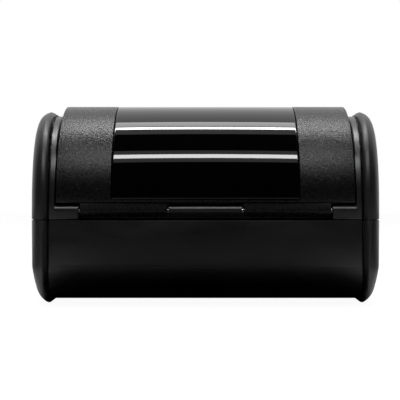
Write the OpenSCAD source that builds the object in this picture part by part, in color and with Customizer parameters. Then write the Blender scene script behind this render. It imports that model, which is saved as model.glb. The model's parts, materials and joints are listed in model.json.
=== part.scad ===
// Portable label printer with a lid that is hinged at the rear.
// +Z is up, +X is to the right when the printer is seen from its rear, +Y points to the paper
// exit at the front. The origin is on the table, under the middle of the printer. Units are mm.

/* [Body] */
// Width of the two case halves at their rear and front ends, without the bumpers
case_w = 138.8; // [138:0.2:150]
// How far the sides bulge out in the middle of the depth
bulge = 1.8; // [0:0.1:2.4]
// Depth of the case from its rear face to its front face
case_d = 172; // [168:1:176]
// Height of the case bottom above the table
base_gap = 2; // [1.5:0.5:3]
// Height of the seam between the two case halves
seam_z = 38; // [37.8:0.1:38.4]
// Thickness of the case walls
wall = 2.4; // [2:0.1:2.6]
// Gap between pieces that meet at the seam
seam_gap = 0.4; // [0.2:0.1:0.6]
// Radius of the lower front edge of the case
base_r = 12; // [10:0.5:13]
// Radius of the lower rear edge of the case
rear_r = 16; // [14:1:20]
// Radius of the case sides over the label roll
crest_r = 43.7; // [43.2:0.1:44]
// Height of the centre of the rounded top
crest_z = 43.3; // [43:0.1:43.6]

/* [Bumpers] */
// Thickness of the rubber bumpers on the sides
bumper_t = 7.9; // [6:0.1:9]
// How far the bumpers stand out past the rear and front faces
bumper_proud = 1; // [0.5:0.1:1.5]
// How far each bumper reaches in under the case
foot_w = 2; // [1.5:0.5:6]

/* [Lid] */
// Width of the lid
lid_w = 132.8; // [130:0.1:133.2]
// Thickness of the lid
lid_t = 2.2; // [2:0.1:2.6]
// Radius of the lid over the label roll
lid_r = 48; // [47.5:0.1:48.2]
// Depth of the side rims under the lid
skirt = 7; // [5:0.5:7.5]
// Width of the window
window_w = 83.6; // [60:0.1:96]
// Thickness of the window
window_t = 1.2; // [1:0.1:1.4]
// Gap all around the window
window_gap = 0.15; // [0.05:0.05:0.3]
// Distance along the depth from the lid crest to the front end of the window
window_run = 46; // [28:1:50]

/* [Hinge] */
// Height of the hinge pin
hinge_z = 42; // [41.8:0.1:42.2]
// Distance from the rear face to the hinge pin
hinge_in = 2.8; // [2.8:0.1:3.2]
// Radius of the hinge knuckles
knuckle_r = 2.7; // [2.5:0.1:2.75]
// Radius of the hinge pin
pin_r = 1.25; // [1:0.05:1.4]
// Width of the middle knuckle
middle_knuckle_w = 32.4; // [20:0.2:40]
// Width over the two lid knuckles
knuckles_w = 111.5; // [90:0.5:112]
// Gap beside each knuckle
knuckle_gap = 0.7; // [0.3:0.1:1]
// Radial clearance of shafts that turn in a bore
running_fit = 0.05; // [0.03:0.01:0.08]

/* [Print line] */
// Distance from the front face of the case to the platen roller
platen_in = 55; // [54.8:0.1:55.2]
// Height of the platen roller
platen_z = 70; // [69.8:0.1:70.2]
// Radius of the platen rubber
platen_r = 6.5; // [6:0.1:6.6]
// Length of the platen rubber
platen_len = 106; // [96:1:107]
// Radius of the platen shaft
platen_shaft_r = 3; // [2.5:0.1:3.2]
// Radius of the platen bushes
bush_r = 4.2; // [4:0.1:4.4]
// Gap between the platen rubber and the print head
head_gap = 0.3; // [0.3:0.05:0.5]

/* [Gears] */
// Module of the drive gears
gear_m = 0.8; // [0.8:0.1:0.8]
// Teeth of the platen gear
platen_teeth = 18; // [18:1:18]
// Teeth of the idler gear
idler_teeth = 24; // [24:1:24]
// Teeth of the motor pinion
pinion_teeth = 12; // [12:1:12]
// Width of the gears
gear_w = 4; // [3:0.1:4]
// Extra distance between the centres of meshing gears
gear_play = 0.12; // [0.1:0.02:0.16]

/* [Media bay] */
// Radius of the trough for the label roll
bay_r = 35; // [33:0.5:35]
// Width of the media bay
bay_w = 122; // [118:1:122]
// Height of the media bay centre
bay_z = 44; // [43.5:0.5:44.5]
// Radius of the roll guides
guide_r = 27; // [20:1:30]
// Radius of the hubs that hold the roll core
hub_r = 12.2; // [9:0.1:12.6]
// Distance of each roll guide from the middle
guide_x = 50; // [48:1:52]

/* [Battery] */
// Width of the battery pack
battery_w = 80; // [70:1:82]
// Height of the battery pack
battery_h = 22; // [20:0.5:22.4]
// Length of the battery pack
battery_len = 70; // [60:1:72]

/* [Controls] */
// Travel of the two push buttons
button_travel = 1; // [0.5:0.1:1.2]
// Travel of the lid release
release_travel = 3; // [2:0.5:3]

/* [Hidden] */
eps = 0.01;
arc_step = 4;
$fn = 48;
case_x = case_w / 2;
case_y = case_d / 2;
inner_x = case_x - wall;
bumper_x = case_x + 0.1;
bumper_y = case_y + bumper_proud;
lid_x = lid_w / 2;
hinge_y = hinge_in - case_y;
lid_crest_y = lid_r - case_y;
window_front = lid_crest_y + window_run;
bay_y = lid_crest_y - 2;
platen_y = case_y - platen_in;
far = case_d;
pin_half = knuckles_w / 2 + 4.3;
bay_t = 1.6;
bay_x = bay_w / 2;

// Side views are written as rounded outlines: each entry is the depth, height and radius of a
// corner, in anticlockwise order when seen from the right-hand side
panel_low = [case_y - 16, 50, 16];
panel_high = [platen_y + 7, platen_z + 4, 10];
case_line = [
  [rear_r - case_y, base_gap + rear_r, rear_r],
  [case_y - base_r, base_gap + base_r, base_r],
  panel_low,
  panel_high,
  [crest_r - case_y, crest_z, crest_r]
];
foot_r = base_r + 1;
rear_foot_r = rear_r + 2;
bumper_line = [
  [rear_foot_r - bumper_y, rear_foot_r, rear_foot_r],
  [bumper_y - foot_r, foot_r, foot_r],
  [panel_low[0], panel_low[1] + 1, panel_low[2] + bumper_proud],
  [panel_high[0], panel_high[1] + 0.8, panel_high[2] + 1],
  [crest_r + 1.4 - bumper_y, crest_z + 0.7, crest_r + 1.4]
];
lid_line = [
  [lid_crest_y, bay_z, lid_r],
  [platen_y - 2.6, platen_z + 8, 8]
];
lid_edge_z = hinge_z + 3.6;
window_low_z = lid_edge_z + 1.2;

// Direction of the outward normal of the line that joins two corners of an outline
function joint_normal(a, b) =
  atan2(b[1] - a[1], b[0] - a[0]) - acos((a[2] - b[2]) / norm([b[0] - a[0], b[1] - a[1]]));

// Points around a rounded outline, moved inwards by an inset. Straight stretches are split where
// they are longer than the longest side
function outline(line, inset = 0, longest = case_d) = [
  for (i = [0:len(line) - 1])
    let (
      before = line[(i + len(line) - 1) % len(line)],
      here = line[i],
      after = line[(i + 1) % len(line)],
      start = joint_normal(before, here),
      turn = ((joint_normal(here, after) - start) % 360 + 360) % 360,
      steps = max(1, ceil(turn / arc_step)),
      arc = [
        for (k = [0:steps])
          [
            here[0] + (here[2] - inset) * cos(start + turn * k / steps),
            here[1] + (here[2] - inset) * sin(start + turn * k / steps)
          ]
      ],
      next = [
        after[0] + (after[2] - inset) * cos(start + turn),
        after[1] + (after[2] - inset) * sin(start + turn)
      ],
      cuts = ceil(norm(next - arc[steps]) / longest)
    )
      each concat(arc, [for (k = [1:1:cuts - 1]) arc[steps] + (next - arc[steps]) * k / cuts])
];

// How far the sides stand out at a place along the depth: they run straight in the middle and
// curve in towards the rear and front ends
bulge_run = 45;
function side_at(y) = bulge - bulge * pow(max(0, abs(y) - case_y + bulge_run) / bulge_run, 2);

// Everything between the two sides, which are moved outwards by a distance
module between_sides(out) {
  half = [for (i = [0:8]) bumper_y + 1 - i * (bulge_run + 3) / 8];
  depths = concat(half, [for (i = [8:-1:0]) -half[i]]);
  translate([0, 0, -10])
    linear_extrude(120)
      polygon(concat(
        [for (y = depths) [case_x + out + side_at(y), y]],
        [for (i = [17:-1:0]) [-case_x - out - side_at(depths[i]), depths[i]]]
      ));
}

// The control panel lies on the flat between two corners of the case outline
panel_tilt = 90 - joint_normal(panel_low, panel_high);
function panel_point(corner) = [
  corner[0] + corner[2] * sin(panel_tilt),
  corner[1] + corner[2] * cos(panel_tilt)
];
panel_mid = (panel_point(panel_low) + panel_point(panel_high)) / 2;
panel_half_w = 47;
panel_half_d = 12;
panel_t = 1;
panel_sink = 0.8;

// A flat shape in depth and height, given a width along X
module along_x(from, to) {
  translate([from, 0, 0])
    rotate([90, 0, 90])
      linear_extrude(to - from)
        children();
}

module rod_x(from, to, r, y, z) {
  translate([from, y, z])
    rotate([0, 90, 0])
      cylinder(h = to - from, r = r);
}

module rod_z(x, y, from, to, r) {
  translate([x, y, from])
    cylinder(h = to - from, r = r);
}

module block(from, to) {
  translate(from)
    cube(to - from);
}

module both_sides() {
  children();
  mirror([1, 0, 0])
    children();
}

// Places things in the plane of the control panel, with Z pointing out of it
module on_panel() {
  translate([0, panel_mid[0], panel_mid[1]])
    rotate([-panel_tilt, 0, 0])
      children();
}

module rounded_rect(w, h, r) {
  square([w - 2 * r, h], center = true);
  square([w, h - 2 * r], center = true);
  for (x = [-1, 1])
    for (y = [-1, 1])
      translate([x * (w / 2 - r), y * (h / 2 - r)])
        circle(r);
}

function gear_tip_r(teeth) = (teeth / 2 + 0.85) * gear_m;

// Spur gear outline with straight-sided teeth, one of them centred on the X axis
module gear_outline(teeth) {
  half = 90 / teeth;
  pitch = teeth * gear_m / 2;
  tip = gear_tip_r(teeth);
  root = pitch - 1.15 * gear_m;
  polygon([
    for (i = [0:teeth - 1])
      for (p = [[root, -1.22], [pitch, -0.82], [tip, -0.36], [tip, 0.36], [pitch, 0.82], [root, 1.22]])
        let (angle = 360 * i / teeth + half * p[1])
          [p[0] * cos(angle), p[0] * sin(angle)]
  ]);
}

function pitch_r(teeth) = teeth * gear_m / 2;

// A closed skin over a row of rings that all have the same number of points
module loft(rings) {
  last = len(rings) - 1;
  sides = len(rings[0]);
  walls = [
    for (i = [0:last - 1])
      for (k = [0:sides - 1])
        [i * sides + k, i * sides + (k + 1) % sides, (i + 1) * sides + (k + 1) % sides, (i + 1) * sides + k]
  ];
  ends = [
    [for (k = [0:sides - 1]) sides - 1 - k],
    [for (k = [0:sides - 1]) last * sides + k]
  ];
  polyhedron([for (ring = rings) each ring], concat(walls, ends));
}

// A round wire along a path, with a side direction given for each point
module wire(path, sides_dir, r, sides = 6) {
  last = len(path) - 1;
  loft([
    for (i = [0:last])
      let (
        ahead = path[min(i + 1, last)] - path[max(i - 1, 0)],
        along = ahead / norm(ahead),
        raw = sides_dir[i] - along * (sides_dir[i] * along),
        side = raw / norm(raw),
        up = cross(along, side)
      )
        [
          for (k = [0:sides - 1])
            path[i] + r * (cos(360 * k / sides) * side + sin(360 * k / sides) * up)
        ]
  ]);
}

// Coil spring along Z from the origin
module coil_spring(length, r, wire_r, curls) {
  turns = 8 * curls;
  wire(
    [for (i = [0:turns]) [r * cos(45 * i), r * sin(45 * i), wire_r + (length - 2 * wire_r) * i / turns]],
    [for (i = [0:turns]) [cos(45 * i), sin(45 * i), 0]],
    wire_r
  );
}

// Cross-headed screw with its head at the origin and its thread going down
module screw(length, r, head_r, head_h) {
  difference() {
    union() {
      translate([0, 0, -head_h])
        cylinder(h = head_h, r = head_r);
      translate([0, 0, -length])
        cylinder(h = length - head_h + eps, r = r);
    }
    for (a = [0, 90])
      rotate([0, 0, a])
        translate([-0.7 * head_r, -0.3, -0.6 * head_h])
          cube([1.4 * head_r, 0.6, head_h]);
  }
}

// Case halves
boss_r = 4.2;
case_screw_spots = [[62.5, bay_y + bay_r + boss_r + 2.8], [62.5, case_y - 12]];
case_screw_r = 1.5;
head_r = 2.6;
post_tops = [56, 71];
floor_z = base_gap + wall;
battery_low = floor_z + 0.4;
battery_top = battery_low + battery_h;
battery_fit = 0.4;
catch_slot_w = 16.6;
board_x = 52;
board_low = battery_top + 2.7;
board_t = 1.6;
board_top = board_low + board_t;
board_front = case_y - 10;
board_rear = board_front - 62;
board_screw_spots = [[48.5, board_rear + 5], [48.5, board_front - 5]];
chassis_screw_x = 58.8;
chassis_screw_y = platen_y - 4;
chassis_low = board_top + 2.4;
sheet = 1.5;
bay_lug_z = bay_z - 8;
bay_screw_x = 64.6;
port_y = [case_y - 57, case_y - 28];
port_z = [board_low - 11.9, board_low + 1.1];

module case_outside() {
  intersection() {
    along_x(-far, far)
      polygon(outline(case_line));
    between_sides(0);
  }
}

module case_inside() {
  along_x(-inner_x, inner_x)
    polygon(outline(case_line, wall));
}

// Screw post with a web to the side wall
module post(spot, from, to) {
  rod_z(spot[0], spot[1], from, to, boss_r);
  block([spot[0], spot[1] - 1.2, from], [inner_x + 1, spot[1] + 1.2, to]);
}

module lower_case() {
  color("#1c1c1e")
    difference() {
      union() {
        intersection() {
          difference() {
            case_outside();
            case_inside();
          }
          block([-far, -far, 0], [far, far, seam_z - seam_gap / 2]);
        }
        intersection() {
          case_outside();
          union() {
            both_sides() {
              for (spot = case_screw_spots)
                post(spot, 0, seam_z - seam_gap / 2);
              for (spot = board_screw_spots)
                rod_z(spot[0], spot[1], 3, board_low, 2.6);
              rod_z(chassis_screw_x, chassis_screw_y, 3, chassis_low, 2.7);
              block([bay_screw_x - 1.6, bay_y - 6, 3], [inner_x + eps, bay_y + 6, bay_lug_z]);
            }
            rod_z(0, bay_y, 3, floor_z + 0.5, 5);
          }
        }
      }
      both_sides()
        for (spot = case_screw_spots) {
          rod_z(spot[0], spot[1], -1, 9, head_r + 0.3);
          rod_z(spot[0], spot[1], 8, 60, case_screw_r + 0.2);
        }
      both_sides() {
        for (spot = board_screw_spots)
          rod_z(spot[0], spot[1], board_low - 6, board_low + 1, 0.9);
        rod_z(chassis_screw_x, chassis_screw_y, chassis_low - 8, chassis_low + 1, 1.1);
        rod_z(bay_screw_x, bay_y, bay_lug_z - 8, bay_lug_z + 1, 0.9);
      }
      rod_z(0, bay_y, 3, 8, 1.2);
      block(
        [-battery_w / 2 - battery_fit, case_y - 16, floor_z],
        [battery_w / 2 + battery_fit, far, battery_top + battery_fit]
      );
      block([-catch_slot_w / 2, case_y - 6, battery_top], [catch_slot_w / 2, far, battery_top + 8]);
      block([inner_x - 1, port_y[0], port_z[0]], [far, port_y[1], port_z[1]]);
    }
}

cross_wall = [4.4 - case_y + hinge_in - 0.8, 6.4 - case_y + hinge_in - 0.8];
panel_back_y = platen_y + 10.5;
button_spots = [[28, 0], [4, 0]];
release_x = -59;
release_half = [3.8, 8];
light_spots = [-22, -16, -10];

module hinge_section(r) {
  translate([hinge_y, hinge_z])
    circle(r);
}

module upper_case() {
  low = seam_z + seam_gap / 2;
  shoulder_in = knuckles_w / 2 + knuckle_gap;
  color("#1c1c1e")
    difference() {
      union() {
        intersection() {
          difference() {
            case_outside();
            case_inside();
            block([-inner_x, -far, 0], [inner_x, panel_back_y, far]);
          }
          block([-far, -far, low], [far, far, far]);
        }
        both_sides()
          along_x(shoulder_in, case_x - 1) {
            translate([-case_y, low])
              square([8, hinge_z - low]);
            hinge_section(hinge_in);
            translate([hinge_y, low])
              square([8 - hinge_in, hinge_z + hinge_in - low]);
          }
        along_x(-case_x + 1, case_x - 1)
          translate([cross_wall[0], low])
            square([2, hinge_z + hinge_in - low]);
        along_x(-middle_knuckle_w / 2, middle_knuckle_w / 2) {
          hinge_section(knuckle_r);
          translate([hinge_y, hinge_z - 1.6])
            square([cross_wall[0] - hinge_y + 1, 3]);
        }
        intersection() {
          case_outside();
          union() {
            block([-inner_x - 1, panel_back_y, platen_z + 9], [inner_x + 1, panel_back_y + wall, far]);
            both_sides()
              for (i = [0, 1])
                post(case_screw_spots[i], low, post_tops[i]);
          }
        }
      }
      rod_x(-pin_half, pin_half, pin_r + running_fit, hinge_y, hinge_z);
      both_sides()
        for (spot = case_screw_spots)
          rod_z(spot[0], spot[1], low - 1, low + 10.6, case_screw_r - 0.1);
      on_panel() {
        translate([0, 0, -panel_sink])
          linear_extrude(10)
            rounded_rect(2 * panel_half_w + 0.3, 2 * panel_half_d + 0.3, 4.15);
        for (spot = button_spots)
          translate([spot[0], spot[1], -8])
            linear_extrude(10)
              rounded_rect(spot[0] > 20 ? 12 : 20, 12, 5.9);
        for (x = light_spots)
          translate([x, 0, -8])
            cylinder(h = 10, r = 1.4);
        translate([release_x, 0, -8])
          linear_extrude(20)
            rounded_rect(2 * release_half[0] + 0.7, 2 * release_half[1] + 0.7, 3);
      }
    }
}

// Rubber bumpers: each ring is the side outline with an inset, at a share of the bumper thickness.
// The first and last ring are flat, the others follow the bulge of the case side
bumper_rings = [
  [-0.7, 1.5], [-0.04, 1.5], [0.04, 0.7], [0.1, 0.2], [0.17, 0], [0.34, 0], [0.45, 0.25],
  [0.58, 0.7], [0.71, 1.4], [0.82, 2.3], [0.91, 3.6], [0.97, 5.2], [1, 6.8], [1.3, 6.8]
];

module bumper_block() {
  last = len(bumper_rings) - 1;
  intersection() {
    difference() {
      loft([
        for (i = [0:last])
          let (
            x = bumper_x + bumper_rings[i][0] * bumper_t,
            flat_end = i == 0 || i == last
          )
            [
              for (p = outline(bumper_line, bumper_rings[i][1], 24))
                [x + (flat_end ? bulge : side_at(p[0])), p[0], p[1]]
            ]
      ]);
      intersection() {
        between_sides(0.1);
        block([-far, -far, base_gap - 0.05], [far, far, far]);
      }
      between_sides(-foot_w);
    }
    between_sides(0.1 + bumper_t);
  }
}

module bumper_upper() {
  intersection() {
    bumper_block();
    block([0, -far, seam_z + seam_gap / 2], [far, far, far]);
  }
}

module bumper_lower() {
  intersection() {
    bumper_block();
    block([0, -far, -1], [far, far, seam_z - seam_gap / 2]);
  }
}

module bumper_upper_left() {
  color("#2a2a2b")
    mirror([1, 0, 0])
      bumper_upper();
}

module bumper_upper_right() {
  color("#2a2a2b")
    bumper_upper();
}

module bumper_lower_left() {
  color("#2a2a2b")
    mirror([1, 0, 0])
      bumper_lower();
}

port_side = bumper_x + bumper_t + side_at(port_y[1]);
cover_pin_x = port_side - 1.7;
cover_pin_z = port_z[0] + 2.4;
cover_pin_r = 0.8;
cover_knuckle_r = 1.5;

module bumper_lower_right() {
  color("#2a2a2b")
    difference() {
      bumper_lower();
      block([case_x - 1, port_y[0], port_z[0]], [far, port_y[1], port_z[1]]);
      translate([cover_pin_x, port_y[0] - 2, cover_pin_z])
        rotate([-90, 0, 0])
          cylinder(h = port_y[1] - port_y[0] + 4, r = cover_pin_r + running_fit);
    }
}

module port_cover() {
  flap_low = port_y[0] + 0.4;
  flap_len = port_y[1] - port_y[0] - 0.8;
  color("#262627")
    difference() {
      union() {
        translate([cover_pin_x, flap_low, cover_pin_z])
          rotate([-90, 0, 0])
            cylinder(h = flap_len, r = cover_knuckle_r);
        block(
          [cover_pin_x - cover_knuckle_r, flap_low, cover_pin_z],
          [port_side - 0.2, flap_low + flap_len, port_z[1] - 0.4]
        );
        block(
          [port_side - 5.4, flap_low + 3, cover_pin_z + 4.4],
          [cover_pin_x, flap_low + flap_len - 3, port_z[1] - 2.6]
        );
      }
      translate([cover_pin_x, flap_low - 1, cover_pin_z])
        rotate([-90, 0, 0])
          cylinder(h = flap_len + 2, r = cover_pin_r + running_fit);
    }
}

module port_cover_pin() {
  color("#a8a8aa")
    translate([cover_pin_x, port_y[0] - 1.8, cover_pin_z])
      rotate([-90, 0, 0])
        cylinder(h = port_y[1] - port_y[0] + 3.6, r = cover_pin_r);
}

module case_screws() {
  color("#3a3a3c")
    both_sides()
      for (spot = case_screw_spots)
        translate([spot[0], spot[1], 6])
          rotate([180, 0, 0])
            translate([0, 0, 2.2 - 3.2])
              screw(seam_z - 3, case_screw_r - 0.15, head_r, 2);
}

// Lid
frame_in = 58.6;
frame_out = frame_in + sheet;
frame_top = platen_z + 12.4;
lid_screw_spots = [for (x = [-48, 48]) for (y = [platen_y - 19, platen_y - 9]) [x, y]];
gear_low_x = 60.6;

module lid_band(inset, depth) {
  difference() {
    polygon(outline(lid_line, inset));
    polygon(outline(lid_line, inset + depth));
  }
}

module lid_zone(rear_z, front_y) {
  lip_z = platen_z + 6.5;
  polygon([
    [-far, rear_z],
    [16 - case_y, rear_z],
    [platen_y - 21, lip_z],
    [front_y, lip_z],
    [front_y, far],
    [-far, far]
  ]);
}

module window_zone(gap) {
  intersection() {
    lid_band(-1, window_t + 1 + gap);
    lid_zone(window_low_z - gap, window_front + gap);
  }
}

module lid_shell() {
  knuckle_in = middle_knuckle_w / 2 + knuckle_gap;
  color("#202022")
    difference() {
      union() {
        along_x(-lid_x, lid_x)
          intersection() {
            lid_band(0, lid_t);
            lid_zone(lid_edge_z, platen_y + 20);
          }
        both_sides()
          along_x(lid_x - lid_t, lid_x)
            intersection() {
              lid_band(0, skirt);
              lid_zone(lid_edge_z, platen_y + 20);
            }
        both_sides()
          along_x(knuckle_in, knuckles_w / 2) {
            hinge_section(knuckle_r);
            translate([-case_y + 0.15, hinge_z])
              square([1.9, 5]);
          }
        for (spot = lid_screw_spots)
          rod_z(spot[0], spot[1], frame_top + 0.1, frame_top + 3.6, 2.6);
      }
      for (spot = lid_screw_spots)
        rod_z(spot[0], spot[1], frame_top - 0.5, frame_top + 2.5, 1);
      rod_x(gear_low_x - 1, lid_x - 1.4, gear_tip_r(platen_teeth) + 0.5, platen_y, platen_z);
      along_x(-window_w / 2 - window_gap, window_w / 2 + window_gap)
        window_zone(0.05);
      along_x(-window_w / 2 + 2, window_w / 2 - 2)
        intersection() {
          lid_band(-1, lid_t + 2);
          lid_zone(window_low_z + 2, window_front - 2);
        }
      rod_x(-far, far, pin_r + running_fit, hinge_y, hinge_z);
    }
}

module lid_window() {
  color("#050506")
    along_x(-window_w / 2, window_w / 2)
      intersection() {
        lid_band(0, window_t);
        lid_zone(window_low_z, window_front);
      }
}

module lid_frame() {
  color("#8c8f92")
    difference() {
      union() {
        both_sides()
          along_x(frame_in, frame_out) {
            translate([platen_y, platen_z])
              circle(bush_r + 1.8);
            polygon([
              [platen_y - 5.8, platen_z + 2],
              [platen_y + 4.4, platen_z + 4.4],
              [platen_y + 2.6, platen_z + 6.3],
              [platen_y + 2.6, platen_z + 10],
              [platen_y + 1, frame_top],
              [platen_y - 23, frame_top],
              [platen_y - 23, frame_top - 3],
              [platen_y - 11, frame_top - 4]
            ]);
          }
        block([-frame_out, platen_y - 23, frame_top - sheet], [frame_out, platen_y - 3, frame_top]);
      }
      rod_x(-far, far, bush_r, platen_y, platen_z);
      for (spot = lid_screw_spots)
        rod_z(spot[0], spot[1], frame_top - 3, frame_top + 3, 1.4);
      for (x = [-30:15:30])
        block([x - 5, platen_y - 18, frame_top - 3], [x + 5, platen_y - 8, frame_top + 1]);
    }
}

module lid_screws() {
  color("#b4b4b6")
    for (spot = lid_screw_spots)
      translate([spot[0], spot[1], frame_top - sheet - 1.6])
        rotate([180, 0, 0])
          screw(5.6, 0.95, 2, 1.6);
}

module hinge_pin() {
  color("#c8c8ca")
    rod_x(0.2 - pin_half, pin_half - 0.2, pin_r, hinge_y, hinge_z);
}

module platen_bushes() {
  color("#d8d4c4")
    both_sides()
      difference() {
        union() {
          rod_x(53.6, frame_out, bush_r, platen_y, platen_z);
          rod_x(frame_in - 0.6, frame_in, bush_r + 0.7, platen_y, platen_z);
        }
        rod_x(0, far, platen_shaft_r + running_fit, platen_y, platen_z);
      }
}

module platen_shaft() {
  color("#b8babd")
    rod_x(0.4 - frame_out - 1, gear_low_x + gear_w, platen_shaft_r, platen_y, platen_z);
}

module platen_rubber() {
  color("#151515")
    difference() {
      rod_x(-platen_len / 2, platen_len / 2, platen_r, platen_y, platen_z);
      rod_x(-far, far, platen_shaft_r, platen_y, platen_z);
    }
}

// Gear train on the right side: motor pinion, idler, platen gear
idler_dir = -63.2;
pinion_dir = -31.9;
idler_dist = pitch_r(platen_teeth) + pitch_r(idler_teeth) + gear_play;
pinion_dist = pitch_r(idler_teeth) + pitch_r(pinion_teeth) + gear_play;
idler_y = platen_y + idler_dist * cos(idler_dir);
idler_z = platen_z + idler_dist * sin(idler_dir);
motor_y = idler_y + pinion_dist * cos(pinion_dir);
motor_z = idler_z + pinion_dist * sin(pinion_dir);
idler_phase = idler_dir + 180;
idler_pitch = 360 / idler_teeth;
off_line = ((pinion_dir - idler_phase) % idler_pitch + idler_pitch) % idler_pitch;
pinion_phase = pinion_dir + 180 + 180 / pinion_teeth + off_line * idler_teeth / pinion_teeth;

module drive_gear(y, z, teeth, phase, bore_r) {
  difference() {
    translate([gear_low_x, y, z])
      rotate([90, 0, 90])
        linear_extrude(gear_w)
          rotate(phase)
            gear_outline(teeth);
    rod_x(0, far, bore_r, y, z);
  }
}

module platen_gear() {
  color("#e6e4dc")
    drive_gear(platen_y, platen_z, platen_teeth, idler_dir + 180 / platen_teeth, platen_shaft_r);
}

idler_pin_r = 2;

module idler_gear() {
  color("#e6e4dc")
    drive_gear(idler_y, idler_z, idler_teeth, idler_phase, idler_pin_r + running_fit);
}

motor_shaft_r = 1.5;

module motor_pinion() {
  color("#c9a95a")
    drive_gear(motor_y, motor_z, pinion_teeth, pinion_phase, motor_shaft_r);
}

chassis_in = 54.2;
chassis_out = chassis_in + sheet;

module idler_stub() {
  color("#b8babd")
    union() {
      rod_x(chassis_in, gear_low_x - 0.15, idler_pin_r + 0.4, idler_y, idler_z);
      rod_x(gear_low_x - 1, gear_low_x + gear_w + 0.2, idler_pin_r, idler_y, idler_z);
      rod_x(gear_low_x + gear_w + 0.15, gear_low_x + gear_w + 0.9, idler_pin_r + 1, idler_y, idler_z);
    }
}

latch_y = platen_y - 3;
latch_z = platen_z - 22;
latch_shaft_r = 2;
head_pivot_y = platen_y + 10.5;
head_pivot_z = platen_z - 11.5;
head_pivot_r = 1.5;
head_face_y = platen_y + platen_r + head_gap;
spring_plate_y = head_face_y + 10.4;
spring_plate_t = 1.2;
chassis_rear = platen_y - 11;
chassis_top = platen_z + 5;
bush_play = 0.65;
motor_r = 11;

module print_chassis() {
  open_dir = atan2(platen_y - hinge_y, hinge_z - platen_z) - 90;
  color("#9a9da0")
    difference() {
      union() {
        both_sides()
          along_x(chassis_in, chassis_out)
            polygon([
              [chassis_rear, chassis_low],
              [motor_y + 7, chassis_low],
              [motor_y + 9, motor_z - 6],
              [motor_y + 9, motor_z + 6],
              [spring_plate_y + 4, platen_z - 8],
              [spring_plate_y + spring_plate_t, chassis_top],
              [chassis_rear + 4, chassis_top],
              [chassis_rear, chassis_top - 9]
            ]);
        block(
          [-chassis_in - 1, chassis_rear, chassis_low],
          [chassis_in + 1, chassis_rear + 12, chassis_low + sheet]
        );
        block(
          [-chassis_in - 1, spring_plate_y, platen_z - 9.5],
          [chassis_in + 1, spring_plate_y + spring_plate_t, chassis_top]
        );
        both_sides()
          block(
            [chassis_in, chassis_screw_y - 4, chassis_low],
            [chassis_screw_x + 3.2, chassis_screw_y + 4, chassis_low + sheet]
          );
      }
      rod_x(-far, far, bush_r + bush_play, platen_y, platen_z);
      both_sides()
        translate([chassis_in - 1, platen_y, platen_z])
          rotate([open_dir + 3, 0, 0])
            translate([0, -bush_r - bush_play - 0.15, 0])
              cube([sheet + 2, 2 * (bush_r + bush_play) + 0.7, 20]);
      rod_x(-far, far, latch_shaft_r + running_fit, latch_y, latch_z);
      rod_x(-far, far, head_pivot_r, head_pivot_y, head_pivot_z);
      rod_x(0, far, idler_pin_r + 0.4, idler_y, idler_z);
      rod_x(0, far, 4, motor_y, motor_z);
      both_sides()
        rod_z(chassis_screw_x, chassis_screw_y, chassis_low - 3, chassis_low + 3, 1.6);
    }
}

module chassis_screws() {
  color("#b4b4b6")
    both_sides()
      translate([chassis_screw_x, chassis_screw_y, chassis_low + sheet + 1.7])
        screw(9, 1.1, 2.2, 1.7);
}

head_half = platen_len / 2;
head_low = platen_z - 7.4;
spring_x = 30;

module head_heatsink() {
  color("#a9adb0")
    difference() {
      union() {
        block(
          [-head_half, head_face_y + 0.8, head_low],
          [head_half, head_face_y + 3.4, head_low + 15.4]
        );
        for (i = [0:4])
          block(
            [3 - head_half, head_face_y + 3, head_low + 1.4 + 3 * i],
            [head_half - 3, head_face_y + 5.6, head_low + 2.6 + 3 * i]
          );
        both_sides()
          along_x(head_half - 6, head_half - 1)
            union() {
              translate([head_pivot_y, head_pivot_z])
                circle(2.6);
              translate([head_pivot_y - 2.6, head_pivot_z])
                square([5.2, 5]);
            }
      }
      rod_x(-far, far, head_pivot_r + running_fit, head_pivot_y, head_pivot_z);
      both_sides()
        translate([spring_x, head_face_y + 3.4, platen_z])
          rotate([-90, 0, 0])
            cylinder(h = 4, r = 3.2);
    }
}

module head_substrate() {
  color("#d9d2c0")
    block([-head_half, head_face_y, head_low], [head_half, head_face_y + 0.8, head_low + 15]);
}

module head_cover() {
  color("#1a1a1a")
    block([3 - head_half, head_face_y - 2.4, head_low - 1.6], [head_half - 3, head_face_y, head_low + 1.8]);
}

module head_pivot() {
  color("#b8babd")
    rod_x(-chassis_out - 0.3, chassis_out + 0.3, head_pivot_r, head_pivot_y, head_pivot_z);
}

module head_springs() {
  color("#c0c0c2")
    for (x = [-spring_x, spring_x])
      translate([x, head_face_y + 3.9, platen_z])
        rotate([-90, 0, 0])
          coil_spring(spring_plate_y - head_face_y - 4, 2.3, 0.35, 5);
}

module latch_shaft() {
  color("#b8babd")
    rod_x(-59.5, 59.5, latch_shaft_r, latch_y, latch_z);
}

hook_in = 56;
hook_out = 57.6;
stem_end = -12.4;

// Depth and height of a point given in the plane of the control panel
function panel_at(along, out) = [
  panel_mid[0] + along * cos(panel_tilt) + out * sin(panel_tilt),
  panel_mid[1] - along * sin(panel_tilt) + out * cos(panel_tilt)
];

module hook_profile() {
  translate([latch_y, latch_z])
    circle(4.2);
  polygon([
    [latch_y - 2, latch_z + 3],
    [latch_y + 4, latch_z + 1],
    [platen_y + 3.2, platen_z - 13],
    [platen_y + 9.4, platen_z - 2],
    [platen_y + 9.2, platen_z + 5.2],
    [platen_y + 8.4, platen_z + 6.1],
    [platen_y + 4.4, platen_z + 6.1],
    [platen_y + 4.2, platen_z + 5.8],
    [platen_y + 5.3, platen_z + 3.6],
    [platen_y + 6, platen_z],
    [platen_y + 5.8, platen_z - 5],
    [latch_y + 0.6, latch_z + 9.4]
  ]);
}

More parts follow.
